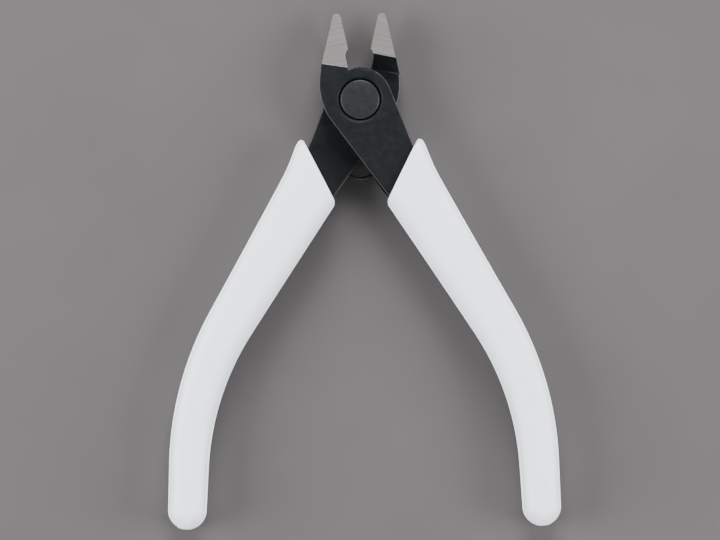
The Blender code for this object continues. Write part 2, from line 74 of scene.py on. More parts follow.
CLOUD_EDGES = (0.35, 0.65)  # cloud values between which one tone turns into the other
ROUGH_EDGES = (0.3, 0.7)  # cloud values at which the roughness meets its limits
BUMP_DEPTH = 0.02 * MM
WELD = 0.002 * MM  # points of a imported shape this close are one
FLAT_JOIN = math.radians(0.6)  # packed faces this close to one plane are joined
SHARP_ANGLE = math.radians(35)
WIRE_SIDES = 16
LEVEL_PLACES = 5  # heights that round to the same number of metres are one height

# The edge slot holds rubbed edges lightened as a painted highlight; the rim slot holds the ground
# rim's painted highlight.
BLACK_SLOT, EDGE_HIGHLIGHT_SLOT, GROUND_SLOT, RIM_HIGHLIGHT_SLOT = range(4)  # a lever's material slots


class Side(Enum):
    """Which handle a piece belongs to, seen from the head of the pin."""

    RIGHT = 1
    LEFT = -1


# ---------------------------------------------------------------- shared shader groups


def new_group(name: str, inputs: dict[str, float], outputs: dict[str, str]) -> bpy.types.NodeTree:
    """Makes an empty shader node group with named sockets.

    Args:
        name: The group's name.
        inputs: Each input's name and default; every one is a number.
        outputs: Each output's name and socket type.

    Returns:
        The group, with its input and output nodes in place.
    """
    tree = bpy.data.node_groups.new(name, "ShaderNodeTree")
    for label, value in inputs.items():
        socket = tree.interface.new_socket(
            name=label, in_out="INPUT", socket_type="NodeSocketFloat"
        )
        socket.default_value = value
    for label, kind in outputs.items():
        tree.interface.new_socket(name=label, in_out="OUTPUT", socket_type=kind)
    tree.nodes.new("NodeGroupInput")
    tree.nodes.new("NodeGroupOutput")
    return tree


@dataclass
class Wiring:
    """Short ways to add and join nodes in one tree."""

    tree: bpy.types.NodeTree

    def add(self, kind: str, **values: object) -> bpy.types.Node:
        """Adds a node.

        Args:
            kind: The node type's name without its ShaderNode prefix.
            values: Attributes of the node, or defaults of its named input sockets.

        Returns:
            The new node.
        """
        node = self.tree.nodes.new("ShaderNode" + kind)
        for label, value in values.items():
            if hasattr(node, label):
                setattr(node, label, value)
            else:
                node.inputs[label].default_value = value
        return node

    def join(self, source: bpy.types.NodeSocket, target: bpy.types.NodeSocket) -> None:
        """Links two sockets."""
        self.tree.links.new(source, target)

    def math(self, operation: str, first: object, second: object) -> bpy.types.NodeSocket:
        """Adds a Math node.

        Args:
            operation: The Math node's operation.
            first: A socket or a number.
            second: A socket or a number.

        Returns:
            The node's output socket.
        """
        node = self.add("Math", operation=operation)
        for socket, value in zip(node.inputs, (first, second)):
            if isinstance(value, (int, float)):
                socket.default_value = value
            else:
                self.join(value, socket)
        return node.outputs[0]

    def ramp(
        self, source: bpy.types.NodeSocket, low: float, high: float, start: float, end: float
    ) -> bpy.types.NodeSocket:
        """Maps a value from one range to another and clamps it.

        Args:
            source: The value's socket.
            low: The value that gives start.
            high: The value that gives end.
            start: The result at low.
            end: The result at high.

        Returns:
            The mapped value's socket.
        """
        node = self.add("MapRange", clamp=True)
        limits = {"From Min": low, "From Max": high, "To Min": start, "To Max": end}
        for label, value in limits.items():
            node.inputs[label].default_value = value
        self.join(source, node.inputs["Value"])
        return node.outputs["Result"]

    def blend(
        self, share: bpy.types.NodeSocket, first: object, second: object
    ) -> bpy.types.NodeSocket:
        """Mixes two colours.

        Args:
            share: Socket with the share of the second colour.
            first: A colour or a colour socket.
            second: A colour or a colour socket.

        Returns:
            The mixed colour's socket.
        """
        node = self.add("Mix", data_type="RGBA")
        self.join(share, node.inputs["Factor"])
        for label, colour in (("A", first), ("B", second)):
            socket = next(s for s in node.inputs if s.name == label and s.type == "RGBA")
            if isinstance(colour, tuple):
                socket.default_value = (*colour, 1)
            else:
                self.join(colour, socket)
        return next(s for s in node.outputs if s.type == "RGBA")


def grain_group() -> bpy.types.NodeTree:
    """A fine surface grain on object coordinates: its height and a cloudy tone."""
    tree = new_group(
        "fine grain",
        {"Grain Size": 0.2, "Cloud Size": 4.0},
        {"Height": "NodeSocketFloat", "Cloud": "NodeSocketFloat", "Speckle": "NodeSocketFloat"},
    )
    wires = Wiring(tree)
    sizes = tree.nodes["Group Input"].outputs
    out = tree.nodes["Group Output"].inputs
    place = wires.add("TexCoord").outputs["Object"]
    fine = wires.add("TexNoise", Detail=3.0, Roughness=0.6)
    wires.join(place, fine.inputs["Vector"])
    wires.join(wires.math("DIVIDE", 1 / MM, sizes["Grain Size"]), fine.inputs["Scale"])
    cloud = wires.add("TexNoise", Detail=4.0, Roughness=0.55)
    wires.join(place, cloud.inputs["Vector"])
    wires.join(wires.math("DIVIDE", 1 / MM, sizes["Cloud Size"]), cloud.inputs["Scale"])
    speck = wires.add("TexVoronoi")
    wires.join(place, speck.inputs["Vector"])
    wires.join(wires.math("DIVIDE", 0.45 / MM, sizes["Grain Size"]), speck.inputs["Scale"])
    wires.join(fine.outputs[0], out["Height"])
    wires.join(cloud.outputs[0], out["Cloud"])
    wires.join(wires.ramp(speck.outputs["Distance"], 0.05, 0.35, 1.0, 0.0), out["Speckle"])
    return tree


def grinding_group() -> bpy.types.NodeTree:
    """Fine parallel grinding lines across the jaws, on object coordinates."""
    tree = new_group(
        "grinding lines",
        {"Line Width": 0.12, "Bow": 0.02},
        {"Lines": "NodeSocketFloat", "Bands": "NodeSocketFloat"},
    )
    wires = Wiring(tree)
    sizes = tree.nodes["Group Input"].outputs
    out = tree.nodes["Group Output"].inputs
    place = wires.add("SeparateXYZ")
    wires.join(wires.add("TexCoord").outputs["Object"], place.inputs[0])
    across = wires.math("MULTIPLY", place.outputs["X"], 1 / MM)
    up = wires.math("MULTIPLY", place.outputs["Y"], 1 / MM)
    bow = wires.math("MULTIPLY", wires.math("MULTIPLY", across, across), sizes["Bow"])
    bent = wires.math("ADD", up, bow)
    for label, coarse, stretch in (("Lines", 1.0, 0.05), ("Bands", 0.22, 0.02)):
        vector = wires.add("CombineXYZ")
        wires.join(wires.math("MULTIPLY", across, stretch), vector.inputs["X"])
        scaled = wires.math("DIVIDE", bent, sizes["Line Width"])
        wires.join(wires.math("MULTIPLY", scaled, coarse), vector.inputs["Y"])
        lines = wires.add("TexNoise", Scale=1.0, Detail=3.0, Roughness=0.65)
        wires.join(vector.outputs[0], lines.inputs["Vector"])
        wires.join(lines.outputs[0], out[label])
    return tree


GRAIN = grain_group()
GRINDING = grinding_group()


# ---------------------------------------------------------------- finishes


@dataclass(frozen=True)
class Finish:
    """A surface finish: two tones, a range of roughness and a grain."""

    name: str
    tone: tuple[float, float, float]
    second_tone: tuple[float, float, float]
    roughness: tuple[float, float]
    metallic: float
    grain_mm: float
    cloud_mm: float
    bump: float
    specular: float

    def begin(self) -> tuple[bpy.types.Material, Wiring, bpy.types.Node, bpy.types.Node]:
        """Starts the material.

        Returns:
            The material, its wiring, its Principled node and its grain group node.
        """
        made = bpy.data.materials.new(self.name)
        made.use_nodes = True
        wires = Wiring(made.node_tree)
        shader = made.node_tree.nodes["Principled BSDF"]
        shader.inputs["Metallic"].default_value = self.metallic
        shader.inputs["Specular IOR Level"].default_value = self.specular
        grain = wires.add("Group", node_tree=GRAIN)
        grain.inputs["Grain Size"].default_value = self.grain_mm
        grain.inputs["Cloud Size"].default_value = self.cloud_mm
        return made, wires, shader, grain

    def toned(self, wires: Wiring, cloud: bpy.types.NodeSocket) -> bpy.types.NodeSocket:
        """The finish's colour, its two tones mixed by the cloud."""
        share = wires.ramp(cloud, *CLOUD_EDGES, 0.0, 1.0)
        return wires.blend(share, self.tone, self.second_tone)

    def roughened(
        self, wires: Wiring, shader: bpy.types.Node, cloud: bpy.types.NodeSocket
    ) -> None:
        """Varies the shader's roughness with the cloud."""
        rough = wires.ramp(cloud, *ROUGH_EDGES, *self.roughness)
        wires.join(rough, shader.inputs["Roughness"])

    def bumped(self, wires: Wiring, shader: bpy.types.Node, height: bpy.types.NodeSocket) -> None:
        """Feeds a height to the shader's normal through a Bump node."""
        bump = wires.add("Bump", Strength=self.bump, Distance=BUMP_DEPTH)
        wires.join(height, bump.inputs["Height"])
        wires.join(bump.outputs[0], shader.inputs["Normal"])

    def material(self) -> bpy.types.Material:
        """The finished material."""
        made, wires, shader, grain = self.begin()
        wires.join(self.toned(wires, grain.outputs["Cloud"]), shader.inputs["Base Color"])
        self.roughened(wires, shader, grain.outputs["Cloud"])
        self.bumped(wires, shader, grain.outputs["Height"])
        return made


@dataclass(frozen=True)
class GroundFinish(Finish):
    """Bright steel with the parallel lines of a grinding wheel."""

    line_mm: float = 0.12

    def material(self) -> bpy.types.Material:
        """The finished material."""
        made, wires, shader, grain = self.begin()
        lines = wires.add("Group", node_tree=GRINDING)
        lines.inputs["Line Width"].default_value = self.line_mm
        mixed = wires.math("MULTIPLY", lines.outputs["Lines"], 0.6)
        mixed = wires.math("ADD", mixed, wires.math("MULTIPLY", lines.outputs["Bands"], 0.4))
        share = wires.ramp(mixed, 0.38, 0.62, 0.0, 1.0)
        wires.join(wires.blend(share, self.tone, self.second_tone), shader.inputs["Base Color"])
        wires.join(wires.ramp(mixed, 0.35, 0.65, *self.roughness), shader.inputs["Roughness"])
        fine = wires.math("MULTIPLY", grain.outputs["Height"], 0.2)
        height = wires.math("ADD", lines.outputs["Lines"], fine)
        self.bumped(wires, shader, height)
        return made


@dataclass(frozen=True)
class TurnedFinish(Finish):
    """Steel faced on a lathe about the pivot: faint rings about the origin's Z axis."""

    ring_mm: float = 0.16

    def material(self) -> bpy.types.Material:
        """The finished material."""
        made, wires, shader, grain = self.begin()
        flat = wires.add("VectorMath", operation="MULTIPLY")
        flat.inputs[1].default_value = (1, 1, 0)
        wires.join(wires.add("TexCoord").outputs["Object"], flat.inputs[0])
        radius = wires.add("VectorMath", operation="LENGTH")
        wires.join(flat.outputs[0], radius.inputs[0])
        turns = wires.math("MULTIPLY", radius.outputs["Value"], 2 * math.pi / (self.ring_mm * MM))
        rings = wires.math("SINE", turns, 0.0)
        wires.join(self.toned(wires, grain.outputs["Cloud"]), shader.inputs["Base Color"])
        self.roughened(wires, shader, grain.outputs["Cloud"])
        height = wires.math("ADD", wires.math("MULTIPLY", rings, 0.12), grain.outputs["Height"])
        self.bumped(wires, shader, height)
        return made


@dataclass(frozen=True)
class MouldedFinish(Finish):
    """Soft white plastic with a fine moulded texture and a trace of handling dust."""

    dust: tuple[float, float, float] = (0.55, 0.55, 0.54)

    def material(self) -> bpy.types.Material:
        """The finished material."""
        made, wires, shader, grain = self.begin()
        shader.inputs["Subsurface Weight"].default_value = 0.12
        shader.inputs["Subsurface Radius"].default_value = (0.0012, 0.0010, 0.0009)
        shader.inputs["Subsurface Scale"].default_value = 1.0
        base = self.toned(wires, grain.outputs["Cloud"])
        dusty = wires.math("MULTIPLY", grain.outputs["Speckle"], 0.05)
        wires.join(wires.blend(dusty, base, self.dust), shader.inputs["Base Color"])
        self.roughened(wires, shader, grain.outputs["Cloud"])
        self.bumped(wires, shader, grain.outputs["Height"])
        return made


BLACKENED = Finish(
    name="blackened steel",
    tone=(0.0034, 0.0042, 0.0048),
    second_tone=(0.0046, 0.0055, 0.0061),
    roughness=(0.46, 0.56),
    metallic=0.0,
    grain_mm=0.13,
    cloud_mm=1.4,
    bump=0.5,
    specular=0.14,
)
# Rubbed edges of the blackened steel, also several times lighter than the body as a painted
# highlight along the outlines.
RUBBED_EDGE_AND_HIGHLIGHT = Finish(
    name="rubbed edge and painted highlight",
    tone=(0.021, 0.0235, 0.025),
    second_tone=(0.036, 0.039, 0.041),
    roughness=(0.38, 0.50),
    metallic=0.3,
    grain_mm=0.10,
    cloud_mm=1.5,
    bump=0.2,
    specular=0.3,
)
GROUND = GroundFinish(
    name="ground steel",
    tone=(0.034, 0.0318, 0.0302),
    second_tone=(0.088, 0.083, 0.079),
    roughness=(0.36, 0.50),
    metallic=0.5,
    grain_mm=0.08,
    cloud_mm=2.0,
    bump=0.35,
    specular=0.5,
)
# The ground rim's tone is far lighter than the ground flats: a painted highlight along the jaws'
# edges.
GROUND_RIM_HIGHLIGHT = Finish(
    name="painted highlight on the ground rim",
    tone=(0.17, 0.167, 0.164),
    second_tone=(0.24, 0.235, 0.23),
    roughness=(0.26, 0.36),
    metallic=0.7,
    grain_mm=0.08,
    cloud_mm=1.0,
    bump=0.1,
    specular=0.5,
)
PIN_FACE = TurnedFinish(
    name="turned pin",
    tone=(0.0078, 0.0088, 0.0102),
    second_tone=(0.0096, 0.0107, 0.0122),
    roughness=(0.42, 0.50),
    metallic=0.0,
    grain_mm=0.10,
    cloud_mm=1.2,
    bump=0.3,
    specular=0.22,
)
SPRING_WIRE = Finish(
    name="spring wire",
    tone=(0.010, 0.0095, 0.010),
    second_tone=(0.018, 0.016, 0.016),
    roughness=(0.25, 0.38),
    metallic=0.6,
    grain_mm=0.12,
    cloud_mm=1.2,
    bump=0.2,
    specular=0.5,
)
WHITE_GRIP = MouldedFinish(
    name="white grip",
    tone=(0.73, 0.775, 0.825),
    second_tone=(0.76, 0.80, 0.845),
    roughness=(0.42, 0.52),
    metallic=0.0,
    grain_mm=0.16,
    cloud_mm=9.0,
    bump=0.10,
    specular=0.45,
)
FLOOR = Finish(
    name="floor",
    tone=(0.0665, 0.0615, 0.0625),
    second_tone=(0.0725, 0.0672, 0.0683),
    roughness=(0.75, 0.85),
    metallic=0.0,
    grain_mm=0.5,
    cloud_mm=40.0,
    bump=0.05,
    specular=0.2,
)


# ---------------------------------------------------------------- mesh helpers


def place(name: str, bm: bmesh.types.BMesh, finishes: list[bpy.types.Material]) -> bpy.types.Object:
    """Turns a bmesh into an object at the origin, shaded smooth.

    Args:
        name: The object's name.
        bm: The mesh, which is freed.
        finishes: Its materials, in slot order.

    Returns:
        The new object.
    """
    mesh = bpy.data.meshes.new(name)
    bm.to_mesh(mesh)
    bm.free()
    for finish in finishes:
        mesh.materials.append(finish)
    mesh.shade_smooth()
    mesh.set_sharp_from_angle(angle=SHARP_ANGLE)
    obj = bpy.data.objects.new(name, mesh)
    bpy.context.scene.collection.objects.link(obj)
    return obj


def skin(bm: bmesh.types.BMesh, rings: list[list[Vector]]) -> None:
    """Bridges rings of equal point counts into one closed body.

    Args:
        bm: The mesh that gets the faces.
        rings: The rings, in order.
    """
    loops = []
    for ring in rings:
        verts = [bm.verts.new(point) for point in ring]
        loops.append([bm.edges.new((a, b)) for a, b in zip(verts, verts[1:] + verts[:1])])
    for first, second in zip(loops, loops[1:]):
        bmesh.ops.bridge_loops(bm, edges=first + second)
    for loop in (loops[0], loops[-1]):
        bmesh.ops.contextual_create(bm, geom=loop)
    bmesh.ops.recalc_face_normals(bm, faces=bm.faces)


def packed_mesh(node: str) -> bmesh.types.BMesh:
    """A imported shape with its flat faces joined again.

    Args:
        node: The shape's node.

    Returns:
        Its mesh, with normals up to date.
    """
    bm = bmesh.new()
    bm.from_mesh(frame["nodes"][node].data)
    bmesh.ops.remove_doubles(bm, verts=bm.verts, dist=WELD)
    bmesh.ops.dissolve_limit(bm, angle_limit=FLAT_JOIN, verts=bm.verts, edges=bm.edges)
    bm.normal_update()
    return bm


def break_edges(
    bm: bmesh.types.BMesh, edges: list[bmesh.types.BMEdge], offset: float, finish: int = 0
) -> None:
    """Rounds edges and gives the new faces one finish.

    Args:
        bm: The mesh.
        edges: The edges.
        offset: How far the rounding reaches from each edge.
        finish: The material slot of the new faces.
    """
    bmesh.ops.bevel(
        bm,
        geom=edges,
        offset=offset,
        offset_type="OFFSET",
        segments=2,
        profile=0.5,
        affect="EDGES",
        clamp_overlap=False,
        material=finish,
    )


def lathe(profile: list[tuple[float, float]], steps: int) -> bmesh.types.BMesh:
    """Spins a profile about Z.

    Args:
        profile: (radius, height) points from one end of the axis to the other.
        steps: How many steps make the full turn.

    Returns:
        The closed turned body.
    """
    bm = bmesh.new()
    verts = [bm.verts.new((radius, 0, height)) for radius, height in profile]
    edges = [bm.edges.new(pair) for pair in zip(verts, verts[1:])]
    bmesh.ops.spin(
        bm,
        geom=verts + edges,
        axis=(0, 0, 1),
        cent=(0, 0, 0),
        angle=2 * math.pi,
        steps=steps,
        use_merge=True,
    )
    bmesh.ops.remove_doubles(bm, verts=bm.verts, dist=0.0005 * MM)
    bmesh.ops.recalc_face_normals(bm, faces=bm.faces)
    return bm


def wire(
    name: str, route: list[Vector], diameter: float, finish: bpy.types.Material
) -> bpy.types.Object:
    """A round wire along a route.

    Args:
        name: The object's name.
        route: Points of the wire's middle line.
        diameter: The wire's diameter.
        finish: Its material.

    Returns:
        The wire as a mesh object at the origin.
    """
    bm = bmesh.new()
    rings = []
    side = Vector((0, 0, 1))
    for i, point in enumerate(route):
        along = (route[min(i + 1, len(route) - 1)] - route[max(i - 1, 0)]).normalized()
        side = (side - along * side.dot(along)).normalized()
        other = along.cross(side)
        ring = []
        for step in range(WIRE_SIDES):
            angle = 2 * math.pi * step / WIRE_SIDES
            ring.append(point + (side * math.cos(angle) + other * math.sin(angle)) * diameter / 2)
        rings.append(ring)
    skin(bm, rings)
    return place(name, bm, [finish])


# ---------------------------------------------------------------- sub-assemblies


@dataclass
class Lever:
    """One forged lever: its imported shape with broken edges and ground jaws."""

    node: str
    body: str
    side: Side
    open_angle: float = math.radians(12.5)
    edge_break: float = 0.15 * MM
    rim_width: float = 0.08 * MM
    sharp_angle: float = math.radians(60)
    jaw_start: float = 7.2 * MM
    edge_start: float = 11.3 * MM
    tip_start: float = 19.25 * MM
    flat_area: float = 30.0 * MM**2
    bore_reach: float = 5.5 * MM
    margin: float = 0.7 * MM

    def closed(self, point: Vector) -> Vector:
        """A point or direction turned into the closed tool's frame, jaw on the left.

        Args:
            point: A point or direction of the open tool.

        Returns:
            The same one, as on a closed front lever.
        """
        turned = Matrix.Rotation(-self.side.value * self.open_angle, 3, "Z") @ point
        return turned if self.side is Side.RIGHT else Vector((-turned.x, turned.y, turned.z))

    def is_ground(self, face: bmesh.types.BMFace) -> bool:
        """Whether a face is one of the jaw's ground flats, its relief or its tip."""
        middle = self.closed(face.calc_center_median())
        normal = self.closed(face.normal)
        flat = abs(normal.z) > 0.9 and normal.y > 0.15
        relief = normal.x > 0.5 and middle.y > self.edge_start
        tip = middle.y > self.tip_start
        return middle.y > self.jaw_start and (flat or relief or tip)

    def on_cutting_edge(self, edge: bmesh.types.BMEdge) -> bool:
        """Whether an edge is the cutting edge, which stays sharp."""
        middle = self.closed((edge.verts[0].co + edge.verts[1].co) / 2)
        return abs(middle.x) < 0.12 * MM and middle.y > self.edge_start

    def broad_faces(self, bm: bmesh.types.BMesh) -> list[bmesh.types.BMFace]:
        """The flat faces at the heights of the broad ones, in as many pieces as holes need."""
        flat = [face for face in bm.faces if abs(face.normal.z) > 0.999]
        heights = {self.level(face) for face in flat if face.calc_area() > self.flat_area}
        return [face for face in flat if self.level(face) in heights]

    @staticmethod
    def level(face: bmesh.types.BMFace) -> float:
        """The height of a face's middle, rounded so that equal heights compare equal."""
        return round(face.calc_center_median().z, LEVEL_PLACES)

    def on_outline(self, edge: bmesh.types.BMEdge) -> bool:
        """Whether an edge is a sharp corner away from the pin's bore."""
        middle = (edge.verts[0].co + edge.verts[1].co) / 2
        sharp = edge.is_convex and edge.calc_face_angle(0.0) > self.sharp_angle
        return sharp and middle.xy.length > self.bore_reach

    def build(self, finishes: list[bpy.types.Material]) -> bpy.types.Object:
        """Makes the lever.

        Args:
            finishes: Blackened steel, the rubbed edge with a painted highlight, ground steel and
                the ground rim's painted highlight.

        Returns:
            The lever, riding on its body.
        """
        bm = packed_mesh(self.node)
        for face in bm.faces:
            face.material_index = GROUND_SLOT if self.is_ground(face) else BLACK_SLOT
        broad = self.broad_faces(bm)
        bmesh.ops.inset_region(
            bm, faces=broad, thickness=self.margin, use_boundary=True, use_even_offset=True
        )
        bm.normal_update()
        heights = {self.level(face) for face in broad if face.is_valid}
        rims = []
        corners = []
        for edge in bm.edges:
            kinds = {face.material_index for face in edge.link_faces}
            level = round((edge.verts[0].co.z + edge.verts[1].co.z) / 2, LEVEL_PLACES)
            if kinds == {BLACK_SLOT, GROUND_SLOT} and not self.on_cutting_edge(edge):
                rims.append(edge)
            elif kinds == {BLACK_SLOT} and level in heights and self.on_outline(edge):
                corners.append(edge)
        # The narrow bevel between black and ground faces gets the ground rim finish, a painted
        # highlight.
        break_edges(bm, rims, self.rim_width, RIM_HIGHLIGHT_SLOT)
        corners = [edge for edge in corners if edge.is_valid]
        # The rounded outline edges get the rubbed edge finish, whose lighter tone is a painted
        # highlight.
        break_edges(bm, corners, self.edge_break, EDGE_HIGHLIGHT_SLOT)
        obj = place(self.node + "_finished", bm, finishes)
        weighted = obj.modifiers.new("weighted normals", "WEIGHTED_NORMAL")
        weighted.keep_sharp = True
        weighted.weight = 100
        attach(obj, self.body)
        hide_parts(self.node)
        return obj


@dataclass
class Pivot:
    """The pin with its chamfered head, and the nut behind it."""

    head_chamfer: float = 0.24 * MM
    head_crown: float = 0.03 * MM
    edge_round: float = 0.07 * MM
    head_sink: float = 1.14 * MM
    shank: float = 2.6 * MM
    neck: float = 1.98 * MM
    neck_length: float = 1.5 * MM
    end_chamfer: float = 0.15 * MM
    nut_edge: float = 0.1 * MM
    steps: int = 128

    def pin(self, finish: bpy.types.Material) -> bpy.types.Object:
        """Makes the pin: proud head, shank, neck and flat back end.

        Args:
            finish: Its material.

        Returns:
            The pin, riding on the back half.
        """
        low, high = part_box("pivot_pin")
        head = high.x
        top = high.z
        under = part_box("front_lever")[1].z - self.head_sink
        soft = self.edge_round
        profile = [
            (0, top),
            (head * 0.5, top - self.head_crown * 0.3),
            (head - self.head_chamfer - soft, top - self.head_crown),
            (head - self.head_chamfer + soft * 0.5, top - self.head_crown - soft * 0.45),
            (head - soft * 0.6, top - self.head_chamfer),
            (head, top - self.head_chamfer - soft),
            (head, under + soft),
            (head - soft, under),
            (self.shank, under),
            (self.shank, low.z + self.neck_length),
            (self.neck, low.z + self.neck_length),
            (self.neck, low.z + self.end_chamfer),
            (self.neck - self.end_chamfer, low.z),
            (0, low.z),
        ]
        obj = place("pivot_pin_turned", lathe(profile, self.steps), [finish])
        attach(obj, "back_half")
        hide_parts("pivot_pin")
        return obj

    def nut(self, finish: bpy.types.Material) -> bpy.types.Object:
        """Makes the nut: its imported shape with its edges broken.

        Args:
            finish: Its material.

        Returns:
            The nut, riding on the back half.
        """
        bm = packed_mesh("pivot_nut")
        sharp = [edge for edge in bm.edges if edge.calc_face_angle(0.0) > SHARP_ANGLE]
        break_edges(bm, sharp, self.nut_edge)
        obj = place("pivot_nut_turned", bm, [finish])
        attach(obj, "back_half")
        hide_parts("pivot_nut")
        return obj


@dataclass
class ReturnSpring:
    """The wound spring: lower turns with the fixed leg, top turn with the moving leg."""

    wire_size: float = 0.85 * MM
    turn_gap: float = 0.05 * MM
    lower_turns: float = 1.39
    lower_cut: float = 0.03
    top_turn: float = math.radians(338)
    leg_tip: tuple[float, float] = (6.2 * MM, -17.4 * MM)
    leg_bend: float = 0.7 * MM
    fixed_leg: float = 6.0 * MM

    def measure(self) -> tuple[Vector, float, float, float]:
        """Reads the coil from the frame.

        Returns:
            The coil's middle, its mean radius, its lowest wire height and its top wire height.
        """
        joint = next(j for j in frame["joints"] if j["name"] == "spring_wind")
        middle = Vector(joint["pos_m"][:2])
        low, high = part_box("return_spring_coil")
        radius = middle.y - low.y - self.wire_size / 2
        bottom = low.z + self.wire_size / 2
        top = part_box("return_spring_arm")[0].z + self.wire_size / 2
        return middle, radius, bottom, top

    def around(self, angle: float, height: float) -> Vector:
        """A point of the coil's middle line."""
        middle, radius, _, _ = self.measure()
        x = middle.x + radius * math.cos(angle)
        y = middle.y + radius * math.sin(angle)
        return Vector((x, y, height))

    def leaving_angle(self) -> float:
        """The angle at which the moving leg leaves the coil."""
        middle, radius, _, _ = self.measure()
        line = Vector(self.leg_tip) - middle
        return math.atan2(line.y, line.x) + math.acos(radius / line.length)

    def coil(self, finish: bpy.types.Material) -> bpy.types.Object:
        """The lower turns and the leg that stays in the back lever."""
        _, _, bottom, _ = self.measure()
        start = math.pi - self.leaving_angle()
        pitch = self.wire_size + self.turn_gap
        steps = 120
        route = []
        for i in range(steps + 1):
            share = (self.lower_turns - self.lower_cut) * i / steps
            route.append(self.around(start - 2 * math.pi * share, bottom + share * pitch))
        leave = Vector((math.cos(start + math.pi / 2), math.sin(start + math.pi / 2), 0))
        leg = [route[0] + leave * self.fixed_leg * share for share in (1.0, 0.75, 0.5, 0.25, 0.08)]
        obj = wire("spring_turns", leg + route, self.wire_size, finish)
        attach(obj, "back_half")
        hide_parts("return_spring_coil")
        return obj

    def arm(self, finish: bpy.types.Material) -> bpy.types.Object:
        """The top turn and the leg that bends up into the front lever."""
        _, _, _, top = self.measure()
        leave = self.leaving_angle()
        steps = 90
        route = [
            self.around(leave + self.top_turn * (1 - i / steps), top) for i in range(steps + 1)
        ]
        tip = Vector((*self.leg_tip, top))
        back = (route[-1] - tip).normalized()
        bend = self.leg_bend
        for i in range(1, 5):
            route.append(route[steps].lerp(tip + back * bend, i / 4))
        for i in range(1, 7):
            angle = math.pi / 2 * i / 6
            rise = Vector((0, 0, bend * (1 - math.cos(angle))))
            route.append(tip + back * bend * (1 - math.sin(angle)) + rise)
        route.append(Vector((tip.x, tip.y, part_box("return_spring_arm")[1].z)))
        obj = wire("spring_leg_wire", route, self.wire_size, finish)
        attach(obj, "spring_leg")
        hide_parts("return_spring_arm")
        return obj


